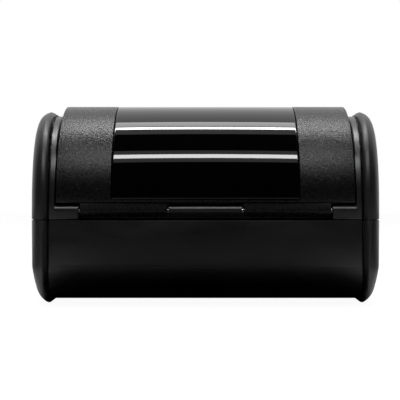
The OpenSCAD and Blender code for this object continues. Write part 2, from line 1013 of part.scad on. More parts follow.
module latch_hooks() {
  color("#2e2e30")
    difference() {
      union() {
        both_sides()
          along_x(hook_in, hook_out)
            hook_profile();
        along_x(-hook_out, -hook_in)
          polygon([
            [latch_y, latch_z - 4],
            panel_at(3, stem_end - 3.6),
            panel_at(3, stem_end - 0.3),
            panel_at(-3.4, stem_end - 0.3),
            [latch_y + 2, latch_z + 3]
          ]);
      }
      rod_x(-far, far, latch_shaft_r, latch_y, latch_z);
    }
}

module release_button() {
  color("#3b3b3d")
    on_panel()
      translate([release_x, 0, 0])
        difference() {
          union() {
            translate([0, 0, -3.4])
              linear_extrude(4.9)
                rounded_rect(2 * release_half[0], 2 * release_half[1], 2.6);
            translate([-(hook_in + hook_out) / 2 - release_x - 1, -1, stem_end])
              cube([2, 2, -3.2 - stem_end]);
          }
          for (y = [-4:2:4])
            translate([-2.6, y - 0.35, 1])
              cube([5.2, 0.7, 2]);
        }
}

module motor_body() {
  color("#7d8083")
    union() {
      rod_x(chassis_in - 20, chassis_in - 1.2, motor_r, motor_y, motor_z);
      rod_x(chassis_in - 1.3, chassis_in - 0.05, motor_r + 0.6, motor_y, motor_z);
      rod_x(chassis_in - 0.1, chassis_in + 1, 3.6, motor_y, motor_z);
      rod_x(chassis_in - 21.2, chassis_in - 19.9, 6, motor_y, motor_z);
    }
}

module motor_shaft() {
  color("#c8c8ca")
    rod_x(chassis_in + 1.1, gear_low_x + gear_w, motor_shaft_r, motor_y, motor_z);
}

// Media bay
guide_slot = [bay_y - 4.6, bay_y + 4.6];
cheek_inset = 9.5;

module trough_ring() {
  difference() {
    translate([bay_y, bay_z])
      circle(bay_r + bay_t, $fn = 96);
    translate([bay_y, bay_z])
      circle(bay_r, $fn = 96);
    translate([-far, bay_z + 2])
      square([2 * far, far]);
  }
}

deck_start = bay_y + bay_r;
deck_low = [deck_start + 1, bay_z + 4.6];
deck_high = [platen_y - 6.6, platen_z - 8.5];

module media_bay() {
  color("#2b2b2d")
    difference() {
      union() {
        along_x(-bay_x - bay_t, bay_x + bay_t)
          trough_ring();
        along_x(-53.4, 53.4)
          polygon([
            [deck_start, bay_z - 1],
            [deck_start + bay_t, bay_z - 1],
            [deck_start + 3, bay_z + 3],
            [platen_y - 6, platen_z - 10],
            deck_high,
            deck_low,
            [deck_start, bay_z + 2]
          ]);
        both_sides() {
          along_x(bay_x, bay_x + bay_t)
            union() {
              intersection() {
                polygon(outline(case_line, cheek_inset));
                translate([bay_y - bay_r - bay_t, bay_z - 1])
                  square([2 * (bay_r + bay_t), 36]);
              }
              translate([bay_y, bay_z])
                intersection() {
                  circle(bay_r + 0.5, $fn = 96);
                  translate([-60, -60])
                    square([120, 62]);
                }
            }
          block([bay_x + 1, bay_y - 5, bay_lug_z], [inner_x - 0.3, bay_y + 5, bay_lug_z + 2]);
        }
      }
      both_sides() {
        block([12, guide_slot[0], 0], [56.5, guide_slot[1], 14]);
        rod_z(bay_screw_x, bay_y, 30, 40, 1.2);
      }
      rod_z(0, bay_y, 0, 14, 1.7);
    }
}

module bay_screws() {
  color("#b4b4b6")
    both_sides()
      translate([bay_screw_x, bay_y, bay_lug_z + 2 + 1.3])
        screw(8, 0.9, 1.6, 1.3);
}

rack_low = floor_z + 0.7;
rack_t = 2;
rack_teeth_n = 12;
rack_pitch_y = rack_teeth_n * gear_m / 2 + 0.1;

// One sliding roll guide on the right: disc, hub, foot and toothed rack
module roll_guide() {
  pitch = PI * gear_m;
  difference() {
    union() {
      rod_x(guide_x, guide_x + 2, guide_r, bay_y, bay_z);
      rod_x(guide_x - 7, guide_x + 0.5, hub_r, bay_y, bay_z);
      block([guide_x, guide_slot[0] + 0.6, rack_low], [guide_x + 4, guide_slot[1] - 0.6, bay_z - 20]);
      block([guide_x - 4, bay_y - 3.4, rack_low], [guide_x + 4, bay_y + 8.4, rack_low + rack_t]);
      block(
        [-20, bay_y + rack_pitch_y + gear_m * 1.1, rack_low],
        [guide_x + 4, bay_y + 8.4, rack_low + rack_t]
      );
      translate([0, bay_y, rack_low])
        linear_extrude(rack_t)
          for (i = [-7:17])
            translate([i * pitch + rack_shift, 0])
              polygon([
                [-0.62 * gear_m * PI / 2, rack_pitch_y + gear_m * 1.2],
                [-0.41 * gear_m * PI / 2, rack_pitch_y],
                [-0.18 * gear_m * PI / 2, rack_pitch_y - gear_m * 0.8],
                [0.18 * gear_m * PI / 2, rack_pitch_y - gear_m * 0.8],
                [0.41 * gear_m * PI / 2, rack_pitch_y],
                [0.62 * gear_m * PI / 2, rack_pitch_y + gear_m * 1.2]
              ]);
    }
    rod_x(guide_x - 10, guide_x + 5, hub_r - 2.2, bay_y, bay_z);
    for (a = [30:60:330])
      translate([0, bay_y + 19.5 * cos(a), bay_z + 19.5 * sin(a)])
        rod_x(guide_x - 1, guide_x + 3, 4.6, 0, 0);
  }
}

rack_shift = PI * gear_m / 2;

module guide_right() {
  color("#35363a")
    roll_guide();
}

module guide_left() {
  color("#35363a")
    translate([0, 2 * bay_y, 0])
      rotate([0, 0, 180])
        roll_guide();
}

module guide_pinion() {
  color("#e6e4dc")
    difference() {
      translate([0, bay_y, rack_low])
        linear_extrude(rack_t)
          rotate(90)
            gear_outline(rack_teeth_n);
      rod_z(0, bay_y, 0, 20, 1.5 + running_fit);
    }
}

module guide_pinion_screw() {
  color("#b4b4b6")
    union() {
      rod_z(0, bay_y, 3.2, floor_z + 0.6, 1.2);
      rod_z(0, bay_y, floor_z + 0.5, bay_z - bay_r + 0.2, 1.5);
      rod_z(0, bay_y, bay_z - bay_r + 0.1, bay_z - bay_r + 1.2, 3);
    }
}

module label_sensor() {
  color("#18181a")
    translate([0, (deck_low[0] + deck_high[0]) / 2, (deck_low[1] + deck_high[1]) / 2 + 0.1])
      rotate([atan2(deck_high[1] - deck_low[1], deck_high[0] - deck_low[0]), 0, 0])
        block([-8, -4, 0], [8, 4, 2.2]);
}

module tear_bar() {
  bar_half = 54;
  bar_top = platen_z + 14.4;
  color("#c4c6c8")
    translate([0, panel_back_y - 0.05, 0])
      rotate([90, 0, 0])
        linear_extrude(0.6)
          polygon(concat(
            [[-bar_half, bar_top - 5]],
            [[bar_half, bar_top - 5]],
            [for (i = [bar_half:-1:1 - bar_half]) for (p = [[i, bar_top], [i - 0.5, bar_top - 1]]) p],
            [[-bar_half, bar_top - 1]]
          ));
}

// Controls
module control_panel() {
  color("#101012")
    on_panel()
      difference() {
        translate([0, 0, -panel_sink])
          linear_extrude(panel_t)
            rounded_rect(2 * panel_half_w, 2 * panel_half_d, 4);
        for (spot = button_spots)
          translate([spot[0], spot[1], -5])
            linear_extrude(10)
              rounded_rect(spot[0] > 20 ? 12 : 20, 12, 5.9);
        for (x = light_spots)
          translate([x, 0, -5])
            cylinder(h = 10, r = 1.4);
      }
}

module push_button(w, h) {
  difference() {
    union() {
      translate([0, 0, -3.4])
        linear_extrude(4.6)
          rounded_rect(w, h, h / 2 - 0.1);
      translate([0, 0, -4.6])
        linear_extrude(1.3)
          rounded_rect(w + 2, h + 2, h / 2 + 0.8);
    }
    translate([0, 0, 1.2 + 12])
      sphere(12.2, $fn = 64);
  }
}

module power_button() {
  color("#47484b")
    on_panel()
      translate([button_spots[0][0], 0, 0])
        push_button(11.2, 11.2);
}

module feed_button() {
  color("#47484b")
    on_panel()
      translate([button_spots[1][0], 0, 0])
        push_button(19.2, 11.2);
}

module status_lights() {
  color("#b9d8c0")
    on_panel()
      for (x = light_spots)
        translate([x, 0, -6.8])
          cylinder(h = 7.2, r = 1.3);
}

module button_board() {
  color("#1f5a38")
    on_panel() {
      block([light_spots[0] - 8, -4, -8.6], [button_spots[0][0] + 8, 11, -7.4]);
      for (spot = button_spots)
        block([spot[0] - 3, -3, -7.5], [spot[0] + 3, 3, -4.6 - button_travel - 0.1]);
    }
}

// Battery
module battery_pack() {
  color("#2c2d30")
    intersection() {
      block(
        [-battery_w / 2, case_y - battery_len, battery_low],
        [battery_w / 2, case_y, battery_top]
      );
      along_x(-far, far)
        polygon(outline(case_line));
    }
}

module battery_latch() {
  color("#3b3b3d")
    difference() {
      union() {
        block([-8, case_y - wall + 0.3, battery_top + 0.6], [8, case_y - 0.4, battery_top + 5]);
        block([-6, case_y - 1, battery_top + 1.2], [6, case_y + 0.9, battery_top + 4.4]);
        block([-9.6, case_y - wall - 1.8, battery_top + 0.6], [9.6, case_y - wall - 0.3, battery_top + 5]);
        block([-8, case_y - wall - 1, battery_top + 0.6], [8, case_y - wall + 1, battery_top + 5]);
      }
      for (x = [-4:2:4])
        block([x - 0.3, case_y + 0.4, battery_top], [x + 0.3, case_y + 2, battery_top + 5]);
    }
}

module battery_contacts() {
  rear = case_y - battery_len;
  color("#c9a95a")
    union() {
      block([-14, rear - 6, floor_z], [14, rear - 1.6, board_low - 2]);
      for (x = [-9:6:9])
        block([x - 1, rear - 1.7, 9], [x + 1, rear - 0.3, 19]);
    }
}

// Electronics
module main_board() {
  color("#1f5a38")
    difference() {
      union() {
        block([-board_x, board_rear, board_low], [board_x, board_front, board_top]);
        block([board_x - 1, board_rear + 19, board_low], [62, board_front - 16, board_top]);
      }
      both_sides()
        for (spot = board_screw_spots)
          rod_z(spot[0], spot[1], board_low - 5, board_top + 5, 1.2);
    }
}

module board_chips() {
  color("#141416")
    union() {
      block([-20, board_rear + 38, board_top], [-4, board_rear + 54, board_top + 1.4]);
      block([4, board_rear + 42, board_top], [16, board_rear + 50, board_top + 1.2]);
      block([-40, board_rear + 36, board_top], [-30, board_rear + 46, board_top + 3]);
      block([24, board_rear + 48, board_top], [34, board_rear + 56, board_top + 1.6]);
      for (x = [-44:8:-28])
        rod_z(x, board_rear + 54, board_top, board_top + 3.6, 3);
    }
}

plug_y = board_rear + 24.2;
ribbon_plug_h = 2.6;
motor_plug_h = 3.4;

module board_connectors() {
  color("#e2dfd2")
    union() {
      block([-21, plug_y - 1.8, board_top], [21, plug_y + 1.8, board_top + ribbon_plug_h]);
      block([24, plug_y - 1.8, board_top], [31, plug_y + 1.8, board_top + motor_plug_h]);
      block([-46, plug_y - 2, board_top], [-36, plug_y + 2, board_top + motor_plug_h]);
    }
}

module board_screws() {
  color("#b4b4b6")
    both_sides()
      for (spot = board_screw_spots)
        translate([spot[0], spot[1], board_top + 1.3])
          screw(7.2, 0.9, 1.9, 1.3);
}

jack_y = port_y[0] + 7.5;
jack_z = board_low - 5.3;

socket_x = inner_x - 0.2;

module power_jack() {
  color("#161618")
    union() {
      difference() {
        block([52, jack_y - 4.6, jack_z - 4.6], [socket_x, jack_y + 4.6, board_low]);
        rod_x(57, 70, 3.1, jack_y, jack_z);
      }
      rod_x(56, socket_x - 0.8, 1, jack_y, jack_z);
    }
}

usb_y = port_y[0] + 22;

module usb_socket() {
  color("#b8babd")
    difference() {
      block([57, usb_y - 4.5, board_low - 3.4], [socket_x, usb_y + 4.5, board_low]);
      block([59, usb_y - 3.9, board_low - 2.8], [far, usb_y + 3.9, board_low - 0.6]);
    }
}

// Cables
module head_ribbon() {
  bow = 40;
  low = board_top + ribbon_plug_h + 0.1;
  span = head_low - 1.6 - low + 0.6;
  color("#d08a2e")
    translate([0, head_face_y - 0.3, 0])
      along_x(-18, 18)
        intersection() {
          difference() {
            translate([-sqrt(bow * bow - span * span / 4) - 0.4, low + span / 2])
              circle(bow, $fn = 256);
            translate([-sqrt(bow * bow - span * span / 4) - 0.4, low + span / 2])
              circle(bow - 0.3, $fn = 256);
          }
          translate([-10, low])
            square([30, span - 0.8]);
        }
}

module motor_wires() {
  color("#c43a2c")
    for (i = [0:3])
      wire(
        [
          for (t = [0:10])
            let (u = t / 10)
              [
                chassis_in - 21.3 - (9.4 - 1.4 * i) * sin(90 * u),
                motor_y - 3 + 2 * i - (motor_y - 3 + 2 * i - plug_y) * u * u,
                motor_z + 3 - 2 * i - (motor_z + 3 - 2 * i - board_top - motor_plug_h - 0.4) * u * u
              ]
        ],
        [for (t = [0:10]) [0, 1, -1]],
        0.5
      );
}

lower_case();
upper_case();
bumper_upper_left();
bumper_upper_right();
bumper_lower_left();
bumper_lower_right();
case_screws();
lid_shell();
lid_window();
lid_frame();
lid_screws();
hinge_pin();
platen_bushes();
platen_shaft();
platen_rubber();
platen_gear();
print_chassis();
chassis_screws();
head_heatsink();
head_substrate();
head_cover();
head_pivot();
head_springs();
latch_shaft();
latch_hooks();
release_button();
motor_body();
motor_shaft();
motor_pinion();
idler_gear();
idler_stub();
media_bay();
bay_screws();
guide_left();
guide_right();
guide_pinion();
guide_pinion_screw();
label_sensor();
tear_bar();
control_panel();
power_button();
feed_button();
status_lights();
button_board();
battery_pack();
battery_latch();
battery_contacts();
main_board();
board_chips();
board_connectors();
board_screws();
power_jack();
usb_socket();
port_cover();
port_cover_pin();
head_ribbon();
motor_wires();
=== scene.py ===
"""Looks of a portable label printer that is seen from its hinged rear."""

import json
import math

import bmesh
import bpy
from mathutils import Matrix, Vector


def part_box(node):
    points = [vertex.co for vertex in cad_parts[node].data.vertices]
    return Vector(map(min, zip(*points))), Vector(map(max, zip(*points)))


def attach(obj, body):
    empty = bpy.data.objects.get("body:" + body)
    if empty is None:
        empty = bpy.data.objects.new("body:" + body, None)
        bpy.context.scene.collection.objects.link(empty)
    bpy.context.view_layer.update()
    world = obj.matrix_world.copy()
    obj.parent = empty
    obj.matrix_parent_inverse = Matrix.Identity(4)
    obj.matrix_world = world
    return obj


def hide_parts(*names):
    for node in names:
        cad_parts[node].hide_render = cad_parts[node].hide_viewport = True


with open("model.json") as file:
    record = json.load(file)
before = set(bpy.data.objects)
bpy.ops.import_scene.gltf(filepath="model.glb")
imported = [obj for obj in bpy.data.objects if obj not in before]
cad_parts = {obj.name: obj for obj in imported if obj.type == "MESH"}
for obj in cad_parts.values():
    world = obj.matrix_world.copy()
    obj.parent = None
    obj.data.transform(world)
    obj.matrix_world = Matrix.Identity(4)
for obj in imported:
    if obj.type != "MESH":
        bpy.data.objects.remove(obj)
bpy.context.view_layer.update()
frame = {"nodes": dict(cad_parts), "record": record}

bl_info = {
    "name": "Label Printer",
    "version": (1, 0, 0),
    "blender": (4, 5, 0),
    "location": "View3D > Sidebar > Label Printer",
    "description": "Finishes the shells, mechanism and studio of a portable label printer",
    "category": "Object",
}

MM = 0.001
CASE_SIDE = 69.5 * MM  # half the width of the case at its ends
CASE_BULGE = 1.8 * MM  # what its sides stand further out in the middle
BUMPER_WIDTH = 7.9 * MM
BUMPER_SEAM = 38 * MM  # height at which the two halves of a bumper meet
SEAM_ZONE = 1.5 * MM
SEAM_GAP = 0.4 * MM
CASE_EDGE_SHARE = 0.28  # of the radius on the rims: the radius of all other edges of the case
LID_RADIUS = 48 * MM
LID_SLOPE = math.radians(5.311)
BODY_OF = {
    node: body
    for body, nodes in frame["record"]["behaviour"]["bodies"].items()
    for node in nodes
}


# Sizes and colours


class PrinterLooks(bpy.types.PropertyGroup):
    """Colours, grain and edges of the printer."""

    case_colour: bpy.props.FloatVectorProperty(
        name="Case", description="Colour of the moulded case halves",
        default=(0.006, 0.006, 0.0063), size=3, subtype="COLOR", min=0, max=1,
    )
    lid_colour: bpy.props.FloatVectorProperty(
        name="Lid", description="Colour of the grained lid",
        default=(0.003, 0.003, 0.0032), size=3, subtype="COLOR", min=0, max=1,
    )
    window_colour: bpy.props.FloatVectorProperty(
        name="Window", description="Colour of the polished window",
        default=(0.0008, 0.0008, 0.0009), size=3, subtype="COLOR", min=0, max=1,
    )
    bumper_colour: bpy.props.FloatVectorProperty(
        name="Bumpers", description="Colour of the rubber bumpers",
        default=(0.007, 0.007, 0.0072), size=3, subtype="COLOR", min=0, max=1,
    )
    grain: bpy.props.FloatProperty(
        name="Lid grain", description="Size of the spark-eroded grain on the lid",
        default=0.45 * MM, min=0.1 * MM, max=1 * MM, subtype="DISTANCE", unit="LENGTH",
    )
    edge_radius: bpy.props.FloatProperty(
        name="Edge radius", description="Radius on the edges of the moulded shells",
        default=0.35 * MM, min=0.05 * MM, max=1 * MM, subtype="DISTANCE", unit="LENGTH",
    )


class StudioLooks(bpy.types.PropertyGroup):
    """Camera and lamps."""

    camera_distance: bpy.props.FloatProperty(
        name="Camera distance", description="From the lens to the rear face of the printer",
        default=470 * MM, min=0.2, max=2, subtype="DISTANCE", unit="LENGTH",
    )
    camera_height: bpy.props.FloatProperty(
        name="Camera height", description="Height of the lens above the table",
        default=47 * MM, min=0, max=1, subtype="DISTANCE", unit="LENGTH",
    )
    lens: bpy.props.FloatProperty(
        name="Lens", description="Focal length of the camera in millimetres",
        default=95.6, min=20, max=200,
    )
    top_strip: bpy.props.FloatProperty(
        name="Top strip", description="Brightness of the narrow strip above the printer",
        default=36, min=0, max=100,
    )
    rear_panel: bpy.props.FloatProperty(
        name="Rear panel", description="Brightness of the panel above and behind the printer",
        default=4.2, min=0, max=100,
    )
    front_strip: bpy.props.FloatProperty(
        name="Front strip", description="Brightness of the strip above the camera",
        default=16, min=0, max=100,
    )
    halo: bpy.props.FloatProperty(
        name="Halo", description="Brightness of the soft panels around the two strips",
        default=0.6, min=0, max=10,
    )
    backdrop: bpy.props.FloatProperty(
        name="Backdrop", description="Brightness of the room behind the printer",
        default=0.95, min=0, max=1,
    )
    # Tone of the paler parts of the table around its painted shadow, as the printer sees it
    table_grey: bpy.props.FloatProperty(
        name="Table", description="How much light the table gives back to the printer",
        default=0.9, min=0, max=1,
    )


# Working on meshes


def deselect_all():
    if bpy.context.object and bpy.context.object.mode != "OBJECT":
        bpy.ops.object.mode_set(mode="OBJECT")
    bpy.ops.object.select_all(action="DESELECT")


def take_up(piece):
    """Makes a piece the only selected and the active object."""
    deselect_all()
    piece.select_set(True)
    bpy.context.view_layer.objects.active = piece


def merged_copy(node, name):
    """A copy of a solid with its loose triangles joined and its flat faces made whole."""
    source = frame["nodes"][node]
    piece = bpy.data.objects.new(name, source.data.copy())
    bpy.context.collection.objects.link(piece)
    piece.data.materials.clear()
    take_up(piece)
    bpy.ops.object.mode_set(mode="EDIT")
    bpy.ops.mesh.select_all(action="SELECT")
    bpy.ops.mesh.remove_doubles(threshold=0.002 * MM)
    bpy.ops.mesh.dissolve_limited(angle_limit=math.radians(0.4))
    bpy.ops.object.mode_set(mode="OBJECT")
    piece.data.validate()
    if piece.data.has_custom_normals:
        bpy.ops.mesh.customdata_custom_splitnormals_clear()
    return piece


def finish_modifier(piece, kind, name, **settings):
    """Adds a modifier with its settings and applies it."""
    take_up(piece)
    modifier = piece.modifiers.new(name, kind)
    for setting, value in settings.items():
        setattr(modifier, setting, value)
    bpy.ops.object.modifier_apply(modifier=name)


def round_edges(piece, radius, steps, share=None):
    """Rounds the long sharp edges of a piece, each by its own share of the radius."""
    sharp_turn = math.radians(35)
    shortest = 1.2 * MM
    mesh = bmesh.new()
    mesh.from_mesh(piece.data)
    weight = mesh.edges.layers.float.get("bevel_weight_edge") or mesh.edges.layers.float.new(
        "bevel_weight_edge"
    )
    for edge in mesh.edges:
        sharp = len(edge.link_faces) == 2 and edge.calc_face_angle(0) > sharp_turn
        if not sharp or edge.calc_length() < shortest:
            edge[weight] = 0.0
        elif share:
            edge[weight] = share((edge.verts[0].co + edge.verts[1].co) / 2)
        else:
            edge[weight] = 1.0
    mesh.to_mesh(piece.data)
    mesh.free()
    finish_modifier(
        piece, "BEVEL", "Edge", limit_method="WEIGHT", width=radius, segments=steps,
        use_clamp_overlap=False,
    )


def smooth(piece, turn=35):
    """Shades a piece smoothly across all turns up to a number of degrees."""
    take_up(piece)
    bpy.ops.object.shade_smooth_by_angle(angle=math.radians(turn))


def fit_out(piece, finish, node):
    """Gives a piece its finish and puts it in the place of its solid."""
    piece.data.materials.clear()
    piece.data.materials.append(FINISHES[finish])
    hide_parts(node)
    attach(piece, BODY_OF[node])
    return piece


def shell(node, name, finish, radius, steps=2, share=None):
    """A moulded shell: the solid with rounded edges and smooth curves."""
    piece = merged_copy(node, name)
    round_edges(piece, radius, steps, share)
    smooth(piece)
    return fit_out(piece, finish, node)


def coat(**finishes):
    """Puts a finish on each solid that keeps its shape."""
    for node, finish in finishes.items():
        materials = frame["nodes"][node].data.materials
        if not materials:
            materials.append(FINISHES[finish])
        for index in range(len(materials)):
            materials[index] = FINISHES[finish]


def pick(piece, test, mode="VERT"):
    """Opens a piece with those corners, edges or faces selected that lie where a test allows."""
    take_up(piece)
    bpy.ops.object.mode_set(mode="EDIT")
    bpy.ops.mesh.select_mode(type=mode)
    bpy.ops.mesh.select_all(action="DESELECT")
    bpy.ops.object.mode_set(mode="OBJECT")
    mesh = piece.data
    for item in {"VERT": mesh.vertices, "EDGE": mesh.edges, "FACE": mesh.polygons}[mode]:
        corners = [item.index] if mode == "VERT" else item.vertices
        places = [mesh.vertices[index].co for index in corners]
        item.select = all(test(place) for place in places)
    bpy.ops.object.mode_set(mode="EDIT")


# Finishes


class Tree:
    """A node tree with short names for the steps that build it."""

    def __init__(self, holder):
        holder.use_nodes = True
        self.nodes = holder.node_tree.nodes
        self.links = holder.node_tree.links
        self.nodes.clear()

    def add(self, kind, **inputs):
        """A node whose inputs are either set to a value or wired to a socket."""
        node = self.nodes.new(f"ShaderNode{kind}")
        for name, value in inputs.items():
            self.feed(node.inputs[name.replace("_", " ")], value)
        return node

    def feed(self, socket, value):
        if isinstance(value, bpy.types.NodeSocket):
            self.links.new(value, socket)
        else:
            socket.default_value = value

    def math(self, operation, first, second=0.0):
        node = self.nodes.new("ShaderNodeMath")
        node.operation = operation
        self.feed(node.inputs[0], first)
        self.feed(node.inputs[1], second)
        return node.outputs["Value"]

    def ramp(self, source, start, end, low=0.0, high=1.0, soft=True):
        node = self.add(
            "MapRange", Value=source, From_Min=start, From_Max=end, To_Min=low, To_Max=high,
        )
        node.interpolation_type = "SMOOTHSTEP" if soft else "LINEAR"
        return node.outputs["Result"]

    def blend(self, share, first, second):
        """Two shaders mixed by a share."""
        node = self.nodes.new("ShaderNodeMixShader")
        for socket, value in zip(node.inputs, (share, first, second)):
            self.feed(socket, value)
        return node.outputs["Shader"]


class Recipe(Tree):
    """The node tree of a finish of the printer."""

    def __init__(self, name):
        self.material = bpy.data.materials.new(name)
        super().__init__(self.material)
        self.shader = self.add("BsdfPrincipled")
        self.add("OutputMaterial", Surface=self.shader.outputs["BSDF"])
        self.place = self.add("TexCoord").outputs["Object"]

    def give(self, **inputs):
        """Sets inputs of the shader to a value or wires them to a socket."""
        for name, value in inputs.items():
            self.feed(self.shader.inputs[name.replace("_", " ")], value)

    def noise(self, size, detail=2.0, stretch=(1, 1, 1), roughness=0.5):
        """Cloudy pattern with features of a size in metres."""
        scale = [1 / (size * axis) for axis in stretch]
        spot = self.add("Mapping", Vector=self.place, Scale=scale).outputs["Vector"]
        pattern = self.add(
            "TexNoise", Vector=spot, Scale=1, Detail=detail, Roughness=roughness,
        )
        return pattern.outputs["Fac"]

    def between(self, pattern, low, high, start=0.3, end=0.7):
        """A pattern spread evenly between two values."""
        return self.ramp(pattern, start, end, low, high, soft=False)

    def worn_edges(self):
        """1 on worn outer edges, 0 elsewhere."""
        return self.between(self.add("NewGeometry").outputs["Pointiness"], 0, 1, 0.515, 0.56)

    def mix(self, share, first, second):
        """Two colours mixed by a share."""
        node = self.nodes.new("ShaderNodeMix")
        node.data_type = "RGBA"
        for name, value in (("Factor", share), ("A", first), ("B", second)):
            wired = isinstance(value, bpy.types.NodeSocket)
            self.feed(node.inputs[name], value if wired else (*value, 1))
        return node.outputs["Result"]

    def bump(self, height, depth):
        return self.add("Bump", Height=height, Distance=depth, Strength=1.0).outputs["Normal"]


def tint(colour, factor):
    return tuple(min(1, c * factor) for c in colour)


def moulded(name, colour, grain, depth, rough, spread=0.05, worn=1.6, specular=0.5):
    """Moulded plastic or rubber with a fine grain, cloudy sheen and rubbed edges."""
    recipe = Recipe(name)
    cloud = recipe.noise(22 * MM, 3)
    smear = recipe.noise(6 * MM, 4, (2.5, 1, 1))
    skin = recipe.noise(grain, 3, roughness=0.6)
    base = recipe.mix(recipe.between(cloud, 0, 1), tint(colour, 0.9), tint(colour, 1.12))
    rubbed = recipe.math("MULTIPLY", recipe.worn_edges(), 0.5)
    sheen = recipe.between(smear, rough - spread, rough + spread)
    recipe.give(
        Base_Color=recipe.mix(rubbed, base, tint(colour, worn)),
        Roughness=recipe.math("ADD", sheen, recipe.between(skin, -0.03, 0.03)),
        Normal=recipe.bump(skin, depth),
        Specular_IOR_Level=specular,
    )
    return recipe.material


def eroded(name, colour, grain, depth, rough, specular):
    """Spark-eroded plastic: an even pebble grain that scatters the strips of light."""
    recipe = Recipe(name)
    pebbles = recipe.noise(grain, 2, roughness=0.55)
    patches = recipe.noise(2.4 * grain, 2, roughness=0.7)
    height = recipe.math("ADD", pebbles, recipe.math("MULTIPLY", patches, 0.65))
    recipe.give(
        Base_Color=recipe.mix(recipe.between(patches, 0, 1), tint(colour, 0.8), tint(colour, 1.25)),
        Roughness=recipe.between(patches, rough - 0.05, rough + 0.05),
        Normal=recipe.bump(height, depth),
        Specular_IOR_Level=specular,
    )
    return recipe.material


def polished(name, colour, rough, waves=0.0):
    """Gloss plastic with hairline marks and, on the window, faint waves."""
    recipe = Recipe(name)
    dust = recipe.noise(0.5 * MM, 5, roughness=0.7)
    hairs = recipe.noise(4 * MM, 2, (0.05, 3, 3))
    recipe.give(
        Base_Color=recipe.mix(recipe.between(dust, 0, 1, 0.6, 0.8), colour, tint(colour, 1.3)),
        Roughness=recipe.between(hairs, rough, rough * 1.9, 0.55, 0.8),
    )
    if waves:
        swell = recipe.noise(26 * MM, 1.5, (1, 1.6, 1.6))
        recipe.give(Normal=recipe.bump(swell, waves))
    return recipe.material


def metal(name, colour, rough):
    """Bare metal with tool marks along one direction."""
    recipe = Recipe(name)
    marks = recipe.noise(0.6 * MM, 3, (25, 1, 1))
    cloud = recipe.noise(9 * MM, 3)
    recipe.give(
        Base_Color=recipe.mix(recipe.between(cloud, 0, 1), tint(colour, 0.75), colour),
        Roughness=recipe.between(marks, rough * 0.8, rough * 1.25),
        Normal=recipe.bump(marks, 0.004 * MM),
        Metallic=1.0,
    )
    return recipe.material


FINISHES = {}


def mix_finishes(looks):
    """Makes every finish of the printer once."""
    case, lid = tuple(looks.case_colour), tuple(looks.lid_colour)
    rubber, window = tuple(looks.bumper_colour), tuple(looks.window_colour)
    FINISHES.update(
        case=moulded("case_satin", case, 0.22 * MM, 0.006 * MM, 0.34, specular=0.62),
        lid=eroded("lid_grain", lid, looks.grain, 0.115 * MM, 0.28, 0.33),
        rubber=moulded("bumper_rubber", rubber, 0.3 * MM, 0.012 * MM, 0.4, 0.025),
        window=polished("window_gloss", window, 0.025, 0.05 * MM),
        key=moulded("key_plastic", (0.035, 0.036, 0.038), 0.25 * MM, 0.01 * MM, 0.42),
        inner=moulded("inner_plastic", (0.016, 0.016, 0.017), 0.4 * MM, 0.01 * MM, 0.5),
        film=polished("panel_film", (0.006, 0.006, 0.0065), 0.26),
        acetal=moulded("natural_acetal", (0.66, 0.63, 0.55), 0.5 * MM, 0.004 * MM, 0.35, worn=1.1),
        roller=moulded("ground_rubber", (0.012, 0.012, 0.012), 0.16 * MM, 0.01 * MM, 0.62),
        steel=metal("turned_steel", (0.56, 0.57, 0.58), 0.24),
        zinc=metal("zinc_sheet", (0.5, 0.51, 0.53), 0.34),
        aluminium=metal("extruded_aluminium", (0.68, 0.69, 0.7), 0.3),
        brass=metal("plain_brass", (0.62, 0.46, 0.2), 0.27),
        ceramic=polished("glazed_ceramic", (0.62, 0.57, 0.46), 0.12),
        pipe=polished("light_pipe", (0.32, 0.42, 0.35), 0.18),
        board=polished("solder_resist", (0.008, 0.07, 0.03), 0.2),
        chip=moulded("chip_black", (0.012, 0.012, 0.0125), 0.12 * MM, 0.004 * MM, 0.42),
        amber=polished("amber_film", (0.42, 0.15, 0.02), 0.16),
        wire=polished("red_insulation", (0.36, 0.02, 0.015), 0.25),
    )


# Pieces


class PrinterPiece:
    bl_options = {"REGISTER", "UNDO"}


def case_edge(place):
    """Most roundness on the rims beside the lid, none on the shoulders of the hinge."""
    side = abs(place.x)
    if place.y < -78 * MM and place.z > 41 * MM and 54 * MM < side < 68 * MM:
        return 0.0
    if side > 66 * MM and place.z > 45 * MM:
        return 1.0 if side < 68.2 * MM else 0.6
    return CASE_EDGE_SHARE


def bumper_edge(place):
    """Nearly sharp where the two halves of a bumper meet."""
    return 0.15 if abs(place.z - BUMPER_SEAM) < SEAM_ZONE else 1.0


class PRINTER_OT_case(PrinterPiece, bpy.types.Operator):
    """Finishes the two case halves"""

    bl_idname = "label_printer.case"
    bl_label = "Case halves"

    def execute(self, context):
        radius = context.scene.printer_looks.edge_radius
        shell("lower_case", "lower_case_shell", "case", radius)
        shell("upper_case", "upper_case_shell", "case", radius / CASE_EDGE_SHARE, 4, case_edge)
        return {"FINISHED"}


def case_side(depth):
    """Half the width of the case at a depth: its sides bulge a little in the middle."""
    ends = max(0, abs(depth) - 41 * MM) / (45 * MM)
    return CASE_SIDE + CASE_BULGE * (1 - ends * ends)


def roll_in(bumper):
    """Rounds a bumper further down towards the groove along the case."""
    rounded = 0.34  # share of the width that is rounded
    deepest = 2.2 * MM
    foot = 6 * MM
    for corner in bumper.data.vertices:
        share = (abs(corner.co.x) - case_side(corner.co.y)) / BUMPER_WIDTH
        slope = Vector((0, corner.normal.y, corner.normal.z))
        above = corner.co.z - BUMPER_SEAM
        if abs(above) < SEAM_ZONE:
            slope.z = 0
        outward = slope.y * corner.co.y + slope.z * above > 0
        if share < rounded and corner.co.z > foot and slope.length > 0.35 and outward:
            fall = min(1, max(0, (rounded - share) / 0.38))
            corner.co -= slope.normalized() * deepest * fall ** 1.7
    return bumper


